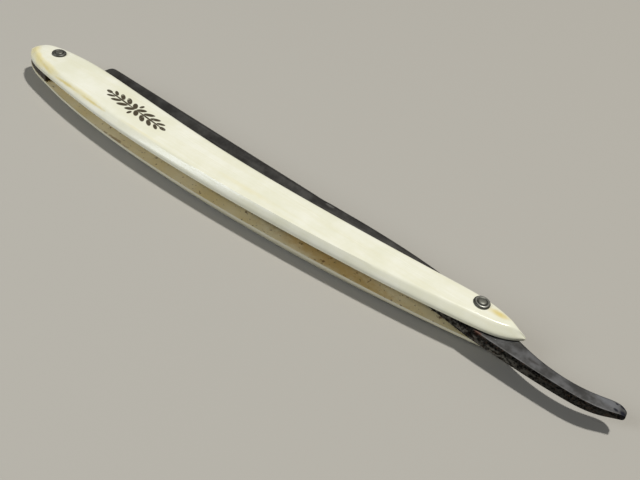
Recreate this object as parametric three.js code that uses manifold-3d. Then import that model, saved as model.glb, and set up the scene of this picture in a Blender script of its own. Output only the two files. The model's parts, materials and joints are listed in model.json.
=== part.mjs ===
// Folding straight razor, lying closed on its side.
// Two bowed scales are pinned together over a tapered wedge at one end and over the tang of the blade
// at the other. The blade swings out about the pivot pin.
//
// Millimetres. While the pieces are made, X runs along the razor from the wedge to the tail, +Y points to
// the spine of the closed blade, and Z = 0 is the middle plane of the blade. X = Y = 0 is the pivot axis.
// The last lines move the whole razor so that the middle of its underside is the origin.
import * as THREE from "three";
import { mergeVertices } from "three/addons/utils/BufferGeometryUtils.js";
import Module from "manifold-3d";

const wasm = await Module();
wasm.setup();

// ---------------------------------------------------------------- driving dimensions

const pinSpacing = 133; // pivot pin to wedge pin
const tipOverhang = 11.7; // scales past the pivot pin
const noseOverhang = 10.1; // scales past the wedge pin

const scaleWidth = 15; // at the widest
const scaleSag = 5.4; // how far the middle of a scale curves away from the line between the pins
const scaleThickness = 2.6;
const scaleWall = 1.1; // upright part of a scale's edge, below its bevel
const bevelWidth = 1.6;
const restLength = 24; // flat stretch in the middle of each scale's outside

const tangThickness = 2.9;
const tangAbovePin = 2.7; // tang on the spine side of the pivot axis
const tangBelowPin = 5.75; // and on its belly side
const washerThickness = 0.25;
const washerRim = 1.6; // width of a washer's ring
const slack = 0.03; // each side of a washer, and under whatever is seated
const flankGap = 0.1; // between a scale's inner edge and the flank of the blade it closes on

const pinRadius = 0.8;
const pinClearance = 0.06; // all round a pin, in everything it passes through
const headRim = 0.25; // how far a pin's head spreads past the pin
const headHeight = 0.28;
const collarRim = 0.9; // from a pin's head to the outside of its collar
const collarHeight = 0.55;
const collarDish = 0.4; // thickness of a collar at its seat, round the pin

const wedgeTip = 1.6; // thickness of the wedge at the nose
const wedgeRoot = 2.1; // and at its blade end
const wedgeReach = 3.0; // from the wedge pin to its blade end

const bladeWidth = 15.5; // spine to edge
const spineThickness = 4.4;
const edgeThickness = 0.12;
const toeGap = 7.6; // from the wedge to the toe of the blade
const toeRadius = 14; // rounding of the blade's end, seen from the side
const shankLength = 43; // pivot to shoulder
const shankWidth = 9.4; // at the shoulder
const heelLength = 6; // from the shoulder to where the cutting edge starts
const edgeCover = 1.9; // how far the edge at the heel sits inside the scales
const closedSlope = 0.037; // rise of the spine towards the toe

const tailReach = 36.2; // tip of the tail past the pivot
const tailThickness = 2.4;
const tailDrop = 6.7; // lowest point of the tail below the pivot axis
const tailWidth = 3.45; // at its narrowest

// ---------------------------------------------------------------- curves and solids

const smooth = (t) => {
  const s = THREE.MathUtils.clamp(t, 0, 1);
  return s * s * (3 - 2 * s);
};

// Piecewise-linear value at x from [x, value] pairs in rising x.
function along(pairs, x) {
  if (x <= pairs[0][0]) return pairs[0][1];
  for (let i = 1; i < pairs.length; i++) {
    const [x0, v0] = pairs[i - 1];
    const [x1, v1] = pairs[i];
    if (x <= x1) return v0 + ((v1 - v0) * (x - x0)) / (x1 - x0);
  }
  return pairs[pairs.length - 1][1];
}

const curveThrough = (points) => new THREE.CatmullRomCurve3(points.map((p) => new THREE.Vector3(...p)));

// A closed surface from rings of points, each ring joined to the next and both ends capped across.
// Each ring lists one side outwards, then the other side back.
function loftGeometry(rings) {
  const size = rings[0].length;
  const half = size / 2;
  const index = [];
  const quad = (a, b, c, d) => index.push(a, b, c, a, c, d);
  for (let r = 0; r + 1 < rings.length; r++) {
    for (let i = 0; i < size; i++) {
      const j = (i + 1) % size;
      quad(r * size + i, r * size + j, (r + 1) * size + j, (r + 1) * size + i);
    }
  }
  const last = (rings.length - 1) * size;
  for (let i = 0; i + 1 < half; i++) {
    quad(size - 1 - i, size - 2 - i, i + 1, i);
    quad(last + i, last + i + 1, last + size - 2 - i, last + size - 1 - i);
  }
  const made = new THREE.BufferGeometry();
  made.setAttribute("position", new THREE.Float32BufferAttribute(rings.flat(2), 3));
  made.setIndex(index);
  return made;
}

function solidOf(geometry) {
  const bare = geometry.clone();
  bare.deleteAttribute("normal");
  bare.deleteAttribute("uv");
  const merged = mergeVertices(bare, 1e-4);
  return new wasm.Manifold(
    new wasm.Mesh({
      numProp: 3,
      vertProperties: merged.attributes.position.array,
      triVerts: new Uint32Array(merged.index.array),
    }),
  );
}

function geometryOf(solid) {
  const mesh = solid.getMesh();
  const made = new THREE.BufferGeometry();
  made.setAttribute("position", new THREE.BufferAttribute(new Float32Array(mesh.vertProperties), 3));
  made.setIndex(new THREE.BufferAttribute(new Uint32Array(mesh.triVerts), 1));
  const flat = made.toNonIndexed();
  flat.computeVertexNormals();
  return flat;
}

// A round cutter the size of a pin hole, standing along Z through the whole razor.
function pinHole(x) {
  const cutter = new THREE.CylinderGeometry(holeRadius, holeRadius, cutterHeight, 32);
  return solidOf(cutter.rotateX(Math.PI / 2).translate(x, 0, 0));
}

const lathe = (profile, sides = 40) =>
  new THREE.LatheGeometry(
    profile.map(([radius, height]) => new THREE.Vector2(radius, height)),
    sides,
  ).rotateX(Math.PI / 2);

// ---------------------------------------------------------------- the outline that scales and wedge share

const tipX = tipOverhang;
const noseX = -pinSpacing - noseOverhang;
const wedgeEndX = -pinSpacing + wedgeReach;
const middleX = -pinSpacing * 0.48;
const cutterHeight = 40; // more than the razor is thick

const holeRadius = pinRadius + pinClearance;
const headRadius = pinRadius + headRim;
const collarRadius = headRadius + collarRim;
const washerRadius = holeRadius + washerRim;

// Stations between the pins: share of the pin spacing, share of the sag, share of the width.
const stations = [
  [0.0, 0.16, 0.62],
  [0.08, 0.37, 0.7],
  [0.225, 0.69, 0.775],
  [0.45, 0.985, 0.855],
  [0.6, 0.99, 0.92],
  [0.75, 0.78, 1.0],
  [0.89, 0.43, 0.985],
  [0.975, 0.19, 0.885],
];

// One side of the outline from the tip to the nose; side is +1 for the spine side and -1 for the belly.
function edgeCurve(side) {
  const endShare = stations[0];
  const noseShare = stations[stations.length - 1];
  const at = (x, sag, width) => [x, -scaleSag * sag + (side * scaleWidth * width) / 2, 0];
  return curveThrough([
    at(tipX, endShare[1] * 0.45, 0.012),
    at(tipX * 0.8, endShare[1] * 0.8, endShare[2] * 0.4),
    at(tipX * 0.5, endShare[1] * 1.0, endShare[2] * 0.74),
    ...stations.map(([share, sag, width]) => at(-pinSpacing * share, sag, width)),
    at(-pinSpacing - noseOverhang * 0.42, noseShare[1] * 0.75, noseShare[2] * 0.785),
    at(-pinSpacing - noseOverhang * 0.8, noseShare[1] * 0.45, noseShare[2] * 0.44),
    at(-pinSpacing - noseOverhang * 0.965, noseShare[1] * 0.4, noseShare[2] * 0.19),
    at(noseX, noseShare[1] * 0.4, 0.02),
  ]);
}
const spineEdge = edgeCurve(1);
const bellyEdge = edgeCurve(-1);
const outlineSteps = 100;
const spinePoints = spineEdge.getSpacedPoints(outlineSteps);
const bellyPoints = bellyEdge.getSpacedPoints(outlineSteps);
const bellyAt = (x) => along([...bellyPoints].reverse().map((p) => [p.x, p.y]), x);
const spineAt = (x) => along([...spinePoints].reverse().map((p) => [p.x, p.y]), x);

// ---------------------------------------------------------------- blade, shank, tang and tail in one forging

const toeX = wedgeEndX + toeGap;
const shoulderX = -shankLength;
const heelX = shoulderX - heelLength;
const heelEdgeY = bellyAt(heelX) + edgeCover;
const crestAt = (x) => heelEdgeY + bladeWidth + closedSlope * (heelX - x);
const edgeAt = (x) => crestAt(x) - bladeWidth;

// Half thickness of the hollow-ground blade against depth below the spine's crest.
const hollow = [
  [0, 0.36],
  [0.35, 0.72],
  [0.9, 0.92],
  [1.7, 1.0],
  [3.0, 0.8],
  [4.5, 0.56],
  [6.5, 0.34],
  [9.0, 0.18],
  [12.0, 0.09],
].map(([depth, share]) => [(depth * bladeWidth) / 15.5, (share * spineThickness) / 2]);
const bladeHalf = (depth) => along([...hollow, [bladeWidth, edgeThickness / 2]], depth);

const bladeShares = [0, 0.023, 0.058, 0.11, 0.19, 0.29, 0.42, 0.58, 0.77, 0.92, 0.975, 1];
const barShares = [0, 0.03, 0.09, 0.18, 0.3, 0.42, 0.58, 0.7, 0.82, 0.91, 0.97, 1];

// The rounded edges of the shank, tang and tail: share of the thickness left at a share of the width.
const barRound = (share) => Math.pow(1 - Math.pow(Math.abs(2 * share - 1), 4), 0.4) * 0.72 + 0.28;

// Shank, tang and tail: [x, y, half thickness] down each side, from the shoulder to the tip of the tail.
const tangHalf = tangThickness / 2;
const tailHalf = tailThickness / 2;
const shankHalf = (spineThickness / 2) * 0.93;
const crestY = crestAt(shoulderX);
const tailTop = tailWidth - tailDrop;
const spineSide = curveThrough([
  [shoulderX, crestY, shankHalf],
  [shoulderX * 0.78, crestY + 0.2, shankHalf * 0.97],
  [shoulderX * 0.52, crestY - 0.05, shankHalf * 0.88],
  [shoulderX * 0.28, crestY - 0.85, tangHalf * 1.04],
  [0, tangAbovePin, tangHalf],
  [tailReach * 0.27, tailTop + 3.0, tangHalf],
  [tailReach * 0.44, tailTop + 0.8, tangHalf * 0.97],
  [tailReach * 0.6, tailTop, tangHalf * 0.93],
  [tailReach * 0.77, tailTop + 0.5, tailHalf * 1.06],
  [tailReach * 0.88, tailTop + 1.8, tailHalf],
  [tailReach * 0.945, tailTop + 2.55, tailHalf],
  [tailReach * 0.978, tailTop + 2.1, tailHalf * 0.9],
  [tailReach * 0.992, tailTop + 1.35, tailHalf * 0.8],
]);
const bellySide = curveThrough([
  [shoulderX, crestY - shankWidth, tangHalf],
  [shoulderX * 0.78, crestY - shankWidth + 0.3, tangHalf],
  [shoulderX * 0.52, crestY - shankWidth + 0.4, tangHalf],
  [shoulderX * 0.28, crestY - shankWidth - 0.1, tangHalf],
  [-0.5, -tangBelowPin, tangHalf],
  [tailReach * 0.24, 0.35 - tailDrop, tangHalf],
  [tailReach * 0.42, 0.05 - tailDrop, tangHalf * 0.97],
  [tailReach * 0.59, -tailDrop, tangHalf * 0.93],
  [tailReach * 0.77, 0.2 - tailDrop, tailHalf * 1.06],
  [tailReach * 0.885, 1.2 - tailDrop, tailHalf],
  [tailReach * 0.945, 2.25 - tailDrop, tailHalf],
  [tailReach * 0.985, 3.4 - tailDrop, tailHalf * 0.9],
  [tailReach, 4.2 - tailDrop, tailHalf * 0.8],
]);

// One cross-section: points down the width on the upper side, then back up on the lower side.
function sectionRing(points) {
  const upper = points.map(([x, y, half]) => [x, y, half]);
  const lower = points.map(([x, y, half]) => [x, y, -half]).reverse();
  return [...upper, ...lower];
}

function bladeRing(x, top, bottom) {
  return sectionRing(
    bladeShares.map((share) => {
      const y = top + (bottom - top) * share;
      return [x, y, bladeHalf(crestAt(x) - y)];
    }),
  );
}

function barPoint(top, bottom, share) {
  const round = barRound(share);
  return [
    top.x + (bottom.x - top.x) * share,
    top.y + (bottom.y - top.y) * share,
    (top.z + (bottom.z - top.z) * share) * round,
  ];
}

function bladeGeometry() {
  const rings = [];
  const middle = (x) => crestAt(x) - bladeWidth / 2;
  const sweep = Math.asin(bladeWidth / 2 / toeRadius);
  for (const step of [0.12, 0.3, 0.5, 0.7, 0.86, 0.999]) {
    const x = toeX + toeRadius * (1 - Math.cos(sweep * step));
    const rise = toeRadius * Math.sin(sweep * step);
    rings.push(bladeRing(x, middle(x) + rise, middle(x) - rise));
  }
  const cornerX = toeX + toeRadius * (1 - Math.cos(sweep)) + 0.3;
  const bladeSteps = 14;
  for (let i = 0; i <= bladeSteps; i++) {
    const x = cornerX + ((heelX - cornerX) * i) / bladeSteps;
    rings.push(bladeRing(x, crestAt(x), edgeAt(x)));
  }
  // Heel: the edge sweeps up to the shank while the hollow grind fades into the bar.
  const topStart = spineSide.getPoint(0);
  const bottomStart = bellySide.getPoint(0);
  const heelSteps = 7;
  for (let i = 1; i < heelSteps; i++) {
    const t = i / heelSteps;
    const x = heelX + (shoulderX - heelX) * t;
    const top = new THREE.Vector3(x, crestAt(x), topStart.z);
    const rise = smooth(t);
    const bottomY = THREE.MathUtils.lerp(edgeAt(heelX), bottomStart.y, rise);
    const bottom = new THREE.Vector3(x, bottomY, bottomStart.z);
    rings.push(
      sectionRing(
        bladeShares.map((share, k) => {
          const ground = top.y + (bottom.y - top.y) * share;
          const bar = barPoint(top, bottom, barShares[k]);
          const groundHalf = Math.max(bladeHalf(crestAt(x) - ground), edgeThickness / 2);
          return [
            x,
            ground + (bar[1] - ground) * rise,
            groundHalf + (bar[2] - groundHalf) * smooth(t * t),
          ];
        }),
      ),
    );
  }
  const barSteps = 44;
  for (let i = 0; i <= barSteps; i++) {
    const top = spineSide.getPoint(i / barSteps);
    const bottom = bellySide.getPoint(i / barSteps);
    rings.push(sectionRing(barShares.map((share) => barPoint(top, bottom, share))));
  }
  const forging = solidOf(loftGeometry(rings));
  return geometryOf(forging.subtract(pinHole(0)));
}

// ---------------------------------------------------------------- the gap between the scales

// Half the gap: set by the wedge, by the flanks of the blade at the toe, and by tang and washers.
const pivotHalfGap = tangHalf + washerThickness + 2 * slack;
const flankAt = (x) => {
  if (x < heelX) return bladeHalf(crestAt(x) - spineAt(x));
  const depth = (crestY - spineAt(x)) / shankWidth;
  return shankHalf + (tangHalf - shankHalf) * depth;
};
const toeFlankX = toeX + 0.4; // where the flanks of the toe first pass the edges of the scales
const toeHalfGap = flankAt(toeFlankX) + flankGap;
const shoulderHalfGap = Math.max(flankAt(shoulderX) + flankGap, pivotHalfGap);
const middleHalfGap = Math.max(shoulderHalfGap, toeHalfGap);
const gapStations = [
  [noseX, wedgeTip / 2],
  [wedgeEndX, wedgeRoot / 2],
  [toeFlankX, toeHalfGap],
  [middleX - restLength / 2, middleHalfGap],
  [middleX + restLength / 2, middleHalfGap],
  [shoulderX * 0.75, shoulderHalfGap],
  [-washerRadius - collarRadius, pivotHalfGap],
  [tipX, pivotHalfGap],
];
const halfGap = (x) => along(gapStations, x);
const outerFace = (x) => halfGap(x) + scaleThickness;

// ---------------------------------------------------------------- scales

// Points of the closed outline, tip first, along the spine side, round the nose and back.
const outline = [...spinePoints, ...[...bellyPoints].reverse()];

// For each outline point, where the bevel meets the outer face. Near the tip the two bevels meet on a
// ridge along the middle, and the outer face ends there.
function bevelTop(i) {
  const point = outline[i];
  const before = outline[Math.max(i - 1, 0)];
  const after = outline[Math.min(i + 1, outline.length - 1)];
  const tangent = new THREE.Vector3().subVectors(after, before).normalize();
  const inward = new THREE.Vector3(-tangent.y, tangent.x, 0);
  const mirror = outline[outline.length - 1 - i];
  const side = Math.sign(point.y - mirror.y);
  const ridge = 0.04; // half width left along the ridge
  const spare = (r) => {
    const x = THREE.MathUtils.clamp(point.x + inward.x * r, noseX, tipX);
    const centre = (spineAt(x) + bellyAt(x)) / 2;
    return side * (point.y + inward.y * r - centre) - ridge;
  };
  let reach = bevelWidth;
  while (reach > ridge && spare(reach) < 0) reach *= 0.94;
  return { at: point.clone().addScaledVector(inward, reach), share: reach / bevelWidth };
}

function scaleGeometry() {
  const loops = outline.map((point, i) => {
    const inner = halfGap(point.x);
    const bevel = bevelTop(i);
    const rise = scaleWall + (scaleThickness - scaleWall) * bevel.share;
    return [
      [point.x, point.y, inner],
      [point.x, point.y, inner + scaleWall],
      [bevel.at.x, bevel.at.y, halfGap(bevel.at.x) + rise],
    ];
  });
  const count = loops.length;
  const vertex = (i, level) => ((i + count) % count) * 3 + level;
  const index = [];
  const quad = (a, b, c, d) => index.push(a, b, c, a, c, d);
  for (let i = 0; i < count; i++) {
    for (const level of [0, 1]) {
      quad(vertex(i, level), vertex(i + 1, level), vertex(i + 1, level + 1), vertex(i, level + 1));
    }
  }
  // Inner and outer faces: a ladder of rungs from the spine side to the belly side.
  for (let i = 0; i + 1 < count / 2; i++) {
    const far = count - 1 - i;
    quad(vertex(i, 2), vertex(i + 1, 2), vertex(far - 1, 2), vertex(far, 2));
    quad(vertex(far, 0), vertex(far - 1, 0), vertex(i + 1, 0), vertex(i, 0));
  }
  const made = new THREE.BufferGeometry();
  made.setAttribute("position", new THREE.Float32BufferAttribute(loops.flat(2), 3));
  made.setIndex(index);
  const drilled = solidOf(made).subtract(pinHole(0)).subtract(pinHole(-pinSpacing));
  return geometryOf(drilled);
}

// ---------------------------------------------------------------- wedge

function wedgeGeometry() {
  const plan = new THREE.Shape(outline.map((point) => new THREE.Vector2(point.x, point.y)));
  const prism = new THREE.ExtrudeGeometry(plan, { depth: cutterHeight, bevelEnabled: false });
  prism.translate(0, 0, -cutterHeight / 2);
  const taper = [noseX - 1, wedgeEndX].map((x) => {
    const half = halfGap(x) - slack;
    return [
      [x, scaleWidth, half],
      [x, -scaleWidth, half],
      [x, -scaleWidth, -half],
      [x, scaleWidth, -half],
    ];
  });
  return geometryOf(
    solidOf(prism)
      .intersect(solidOf(loftGeometry(taper)))
      .subtract(pinHole(-pinSpacing)),
  );
}

// ---------------------------------------------------------------- pins, collars and washers

// Seats of the collars and heads above the middle plane, at each pin.
const collarSeat = (x) => outerFace(x + collarRadius) + slack;
const headSeat = (x) => collarSeat(x) + collarDish + slack;

// A pin with both ends peened over into low domes.
function pinGeometry(x) {
  const seat = headSeat(x);
  const dome = [0, 0.5, 0.8, 1].map((share) => [
    headRadius * share,
    seat + headHeight * Math.sqrt(1 - share * share * 0.9),
  ]);
  const upper = [...dome.reverse().slice(0, -1), [0, seat + headHeight]];
  const half = [[pinRadius, seat], [headRadius, seat], ...upper];
  const lower = half.map(([radius, height]) => [radius, -height]).reverse();
  return lathe([...lower, ...half]);
}

// A dished collar: a rounded rim that falls to a flat seat round the pin.
function collarGeometry() {
  return lathe([
    [holeRadius, 0],
    [collarRadius, 0],
    [collarRadius, collarHeight * 0.35],
    [collarRadius - collarRim * 0.15, collarHeight * 0.75],
    [collarRadius - collarRim * 0.4, collarHeight * 0.97],
    [collarRadius - collarRim * 0.7, collarHeight],
    [headRadius + slack, collarDish],
    [holeRadius, collarDish],
    [holeRadius, 0],
  ]);
}

const washerGeometry = () =>
  lathe([
    [holeRadius, 0],
    [washerRadius, 0],
    [washerRadius, washerThickness],
    [holeRadius, washerThickness],
    [holeRadius, 0],
  ]);

// ---------------------------------------------------------------- materials

const steel = new THREE.MeshStandardMaterial({ color: 0x55544f, roughness: 0.45, metalness: 0.9 });
const ivory = new THREE.MeshStandardMaterial({ color: 0xeae6cc, roughness: 0.3, metalness: 0 });
const dark = new THREE.MeshStandardMaterial({ color: 0x241b10, roughness: 0.6, metalness: 0 });
const pinMetal = new THREE.MeshStandardMaterial({ color: 0x6b6b62, roughness: 0.35, metalness: 0.9 });
const brass = new THREE.MeshStandardMaterial({ color: 0x8a6a3a, roughness: 0.4, metalness: 0.9 });

// ---------------------------------------------------------------- assembly

const razor = new THREE.Group();

function add(name, geometry, material, { x = 0, z = 0, under = false } = {}) {
  const mesh = new THREE.Mesh(geometry, material);
  mesh.name = name;
  mesh.position.set(x, 0, z);
  if (under) mesh.rotation.x = Math.PI;
  razor.add(mesh);
}

// A piece of the lower scale is the upper one mirrored in the middle plane of the blade.
function mirrored(geometry) {
  const copy = geometry.clone().applyMatrix4(new THREE.Matrix4().makeScale(1, 1, -1));
  const spots = copy.attributes.position;
  for (let i = 0; i < spots.count; i += 3) {
    const [a, b] = [i + 1, i + 2].map((k) => new THREE.Vector3().fromBufferAttribute(spots, k));
    spots.setXYZ(i + 1, b.x, b.y, b.z);
    spots.setXYZ(i + 2, a.x, a.y, a.z);
  }
  copy.computeVertexNormals();
  return copy;
}

const frontScale = scaleGeometry();
add("front_scale", frontScale, ivory);
add("back_scale", mirrored(frontScale), ivory);
add("blade", bladeGeometry(), steel);
add("wedge", wedgeGeometry(), dark);
for (const [end, x] of [
  ["pivot", 0],
  ["wedge", -pinSpacing],
]) {
  add(`${end}_pin`, pinGeometry(x), pinMetal, { x });
  add(`front_${end}_collar`, collarGeometry(), pinMetal, { x, z: collarSeat(x) });
  add(`back_${end}_collar`, collarGeometry(), pinMetal, { x, z: -collarSeat(x), under: true });
}
const washerSeat = tangHalf + slack;
add("front_pivot_washer", washerGeometry(), brass, { z: washerSeat });
add("back_pivot_washer", washerGeometry(), brass, { z: -washerSeat, under: true });

const box = new THREE.Box3().setFromObject(razor, true);
const centre = box.getCenter(new THREE.Vector3());
razor.position.set(-centre.x, -centre.y, -box.min.z);

export default razor;
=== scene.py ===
import json
from math import cos, radians, sin

import bmesh
import bpy
import numpy as np
from mathutils import Matrix, Vector


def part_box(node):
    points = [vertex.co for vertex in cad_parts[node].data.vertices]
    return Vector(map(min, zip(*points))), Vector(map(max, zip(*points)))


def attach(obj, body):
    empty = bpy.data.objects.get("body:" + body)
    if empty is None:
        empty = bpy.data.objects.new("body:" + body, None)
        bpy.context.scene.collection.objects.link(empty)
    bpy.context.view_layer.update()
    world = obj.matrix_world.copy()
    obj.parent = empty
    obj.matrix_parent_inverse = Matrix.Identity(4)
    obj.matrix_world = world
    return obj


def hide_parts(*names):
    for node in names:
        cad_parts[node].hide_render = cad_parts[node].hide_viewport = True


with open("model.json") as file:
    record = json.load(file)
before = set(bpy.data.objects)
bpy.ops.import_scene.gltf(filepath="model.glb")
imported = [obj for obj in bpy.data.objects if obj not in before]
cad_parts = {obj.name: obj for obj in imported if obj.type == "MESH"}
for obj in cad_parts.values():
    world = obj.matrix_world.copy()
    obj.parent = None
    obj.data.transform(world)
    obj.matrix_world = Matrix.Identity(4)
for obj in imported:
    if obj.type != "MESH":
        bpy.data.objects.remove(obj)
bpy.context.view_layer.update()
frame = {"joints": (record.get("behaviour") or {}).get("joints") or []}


# ---------------------------------------------------------------- front scale
# The upper of the two slim handle halves: a plank of ivory-coloured celluloid, sawn to a bowed outline that
# is widest past its middle, with a flat inside, an upright wall and a broad bevel up to a slightly crowned
# outside. It is flexed over the wedge and the blade, so it bows outwards between its two rivets.

MM = 0.001
pivot = Vector(frame["joints"][0]["pos_m"])
wedge_rivet_x = (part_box("wedge_pin")[0][0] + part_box("wedge_pin")[1][0]) / 2
hole_radius = 0.86 * MM
round_sides = 48

scale_thickness = 2.6 * MM
scale_wall = 0.8 * MM
scale_crown = 0.16 * MM
spine_bevel = 1.6 * MM

# The share of the crown that is lost beside its middle line, and the most of the width that a bevel takes up.
crown_fall = 0.25
widest_bevel = 0.47

# Along the scale from tip to nose: distance from the pivot, then the spine-side and belly-side edges.
scale_outline = [
    (11.7, -0.2, -0.6),
    (11.2, 0.06, -0.98),
    (10.0, 0.82, -2.06),
    (8.0, 1.82, -3.42),
    (5.5, 2.7, -4.43),
    (2.5, 3.46, -5.12),
    (-2.0, 3.85, -5.89),
    (-8.0, 3.45, -6.87),
    (-16.0, 2.92, -7.98),
    (-26.0, 2.29, -9.16),
    (-38.0, 1.71, -10.27),
    (-52.0, 1.21, -11.3),
    (-66.0, 1.09, -12.02),
    (-80.0, 1.55, -12.27),
    (-94.0, 2.74, -12.03),
    (-106.0, 3.8, -11.22),
    (-116.0, 4.7, -10.06),
    (-124.0, 5.22, -8.78),
    (-131.0, 5.1, -7.36),
    (-136.0, 4.36, -6.22),
    (-139.4, 3.1, -4.6),
    (-141.3, 1.75, -3.0),
    (-142.3, 0.85, -1.95),
    (-142.65, 0.4, -1.45),
]

# Width of the belly-side bevel along the scale: narrow at the waist, broad towards both ends.
belly_bevels = [
    (-136, 1.7),
    (-108, 1.9),
    (-80, 1.3),
    (-62, 1.0),
    (-38, 0.9),
    (-20, 1.3),
    (-4, 1.8),
    (12, 1.9),
]

# How far from the tip and from the nose the outside reaches its full height.
tip_run = 3.0
nose_run = 2.7

# Height of a scale's inside above the middle plane of the blade.
inside_heights = [
    (-143, 0.8),
    (-131, 1.03),
    (-122, 1.6),
    (-76, 1.86),
    (-52, 1.86),
    (-32, 1.84),
    (-4.5, 1.76),
]


def at(pairs, x):
    """The value at x of a list of (x, value) pairs in rising x, in millimetres."""
    return float(np.interp(x, [pair[0] for pair in pairs], [pair[1] for pair in pairs]))


def choose(piece, indices):
    """Selects these vertices of the piece in edit mode, and nothing else."""
    bpy.ops.mesh.select_all(action="DESELECT")
    cage = bmesh.from_edit_mesh(piece.data)
    cage.verts.ensure_lookup_table()
    for index in indices:
        cage.verts[index].select = True
    cage.select_flush(True)
    bmesh.update_edit_mesh(piece.data)


def shift(piece, indices, by):
    """Moves these vertices by a distance along X, Y and Z."""
    choose(piece, indices)
    bpy.ops.transform.translate(value=by)


def stretch(piece, indices, factors, about):
    """Scales these vertices about a point."""
    choose(piece, indices)
    bpy.ops.transform.resize(value=factors, center_override=about)


def crease(piece, indices, sharpness):
    """Adds to the crease of the edges between these vertices, so that they stay crisp in the rounded mesh."""
    choose(piece, indices)
    bpy.ops.transform.edge_crease(value=sharpness)


def straight_bar(name, size, columns, rows):
    """A bar on the X axis, left in edit mode, and its vertices as grid[column][row][low or high]."""
    bpy.ops.object.select_all(action="DESELECT")
    bpy.ops.mesh.primitive_cube_add(size=1, location=(size[0] / 2, 0, size[2] / 2), scale=size)
    bar = bpy.context.object
    bar.name = name
    bar.data.name = name
    bpy.ops.object.transform_apply(location=True, rotation=True, scale=True)
    bpy.ops.object.mode_set(mode="EDIT")
    bpy.ops.mesh.select_mode(type="VERT")
    for axis, cuts in ((0, columns - 2), (1, rows - 2)):
        bpy.ops.mesh.select_all(action="DESELECT")
        bpy.ops.mesh.select_mode(type="EDGE")
        cage = bmesh.from_edit_mesh(bar.data)
        for edge in cage.edges:
            along = edge.verts[1].co - edge.verts[0].co
            edge.select = abs(along[axis]) > 0.99 * along.length
        bmesh.update_edit_mesh(bar.data)
        bpy.ops.mesh.subdivide(number_cuts=cuts)
    bpy.ops.mesh.select_mode(type="VERT")
    cage = bmesh.from_edit_mesh(bar.data)
    grid = [[[None, None] for _ in range(rows)] for _ in range(columns)]
    for vertex in cage.verts:
        column = round(vertex.co.x / size[0] * (columns - 1))
        row = round((vertex.co.y / size[1] + 0.5) * (rows - 1))
        level = round(vertex.co.z / size[2])
        grid[column][row][level] = vertex.index
    return bar, grid


def finish_mesh(piece, levels, smooth_angle):
    """Leaves edit mode, rounds the cage with an applied subdivision and smooths the faces."""
    bpy.ops.mesh.select_all(action="SELECT")
    bpy.ops.mesh.normals_make_consistent(inside=False)
    bpy.ops.object.mode_set(mode="OBJECT")
    if levels:
        rounding = piece.modifiers.new("rounding", "SUBSURF")
        rounding.levels = levels
        rounding.render_levels = levels
        bpy.ops.object.modifier_apply(modifier=rounding.name)
    bpy.ops.object.shade_smooth_by_angle(angle=radians(smooth_angle))


def drill(piece, x):
    """Cuts the hole for a rivet through the piece, along Z."""
    bpy.ops.object.select_all(action="DESELECT")
    bit_size = {"vertices": round_sides, "radius": hole_radius, "depth": 30 * MM}
    bpy.ops.mesh.primitive_cylinder_add(location=(x, pivot.y, pivot.z), **bit_size)
    bit = bpy.context.object
    bpy.context.view_layer.objects.active = piece
    hole = piece.modifiers.new("rivet hole", "BOOLEAN")
    hole.object = bit
    hole.operation = "DIFFERENCE"
    bpy.ops.object.modifier_apply(modifier=hole.name)
    bpy.data.objects.remove(bit)


scale_rows = 7
sharp_inside_edge = 0.65
soft_top_edge = 0.35
crisp_bevel = 0.52
no_crease = -1.0
blank = Vector((160 * MM, 15 * MM, scale_thickness))
front, grid = straight_bar("front_ivory_scale", blank, len(scale_outline), scale_rows)
edge_rows = (0, scale_rows - 1)
beside_middle = (scale_rows // 2 - 1, scale_rows // 2 + 1)
top_edges = [[ring[row][1] for ring in grid] for row in edge_rows]
inner_edges = [[ring[row][0] for ring in grid] for row in edge_rows]
bevel_lines = [[ring[row][1] for ring in grid] for row in (1, scale_rows - 2)]
for line in inner_edges:
    crease(front, line, sharp_inside_edge)
for line in top_edges:
    crease(front, line, soft_top_edge)
for line in bevel_lines:
    crease(front, line, crisp_bevel)
# The bevel's crisp lines fade out round the nose.
crease(front, [pair[1] for ring in grid[-3:] for pair in ring], no_crease)
shift(front, [index for line in top_edges for index in line], (0, 0, scale_wall - scale_thickness))
shift(front, [index for line in bevel_lines for index in line], (0, 0, -scale_crown))
shift(front, [ring[row][1] for ring in grid for row in beside_middle], (0, 0, -crown_fall * scale_crown))

for station, (x, spine, belly) in enumerate(scale_outline):
    ring = grid[station]
    everything = [index for pair in ring for index in pair]
    inner_rows = [index for pair in ring[1:-1] for index in pair]
    crown_rows = [pair[1] for pair in ring[1:-1]]
    width = (spine - belly) * MM
    belly_bevel = min(at(belly_bevels, x) * MM, widest_bevel * width)
    upper_bevel = min(spine_bevel, widest_bevel * width)
    flat_half = (width - belly_bevel - upper_bevel) / 2
    now_x = station * blank.x / (len(scale_outline) - 1)
    middle = (now_x, 0, 0)
    stretch(front, everything, (1, width / blank.y, 1), middle)
    stretch(front, inner_rows, (1, flat_half / (width / 3), 1), middle)
    shift(front, inner_rows, (0, (belly_bevel - upper_bevel) / 2, 0))
    up_to_full = min(1, (scale_outline[0][0] - x) / tip_run, (x - scale_outline[-1][0]) / nose_run)
    shift(front, crown_rows, (0, 0, (up_to_full - 1) * (scale_thickness - scale_wall)))
    place = pivot + Vector((x, (spine + belly) / 2, at(inside_heights, x))) * MM
    shift(front, everything, place - Vector(middle))
finish_mesh(front, levels=2, smooth_angle=40)

# The back scale is the same plank turned over, so it is copied here, before the rivet holes are drilled.
back = front.copy()
back.data = front.data.copy()
back.name = "back_ivory_scale"
back.data.name = "back_ivory_scale"
bpy.context.collection.objects.link(back)
for scale in (front, back):
    drill(scale, pivot.x)
    drill(scale, wedge_rivet_x)


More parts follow.
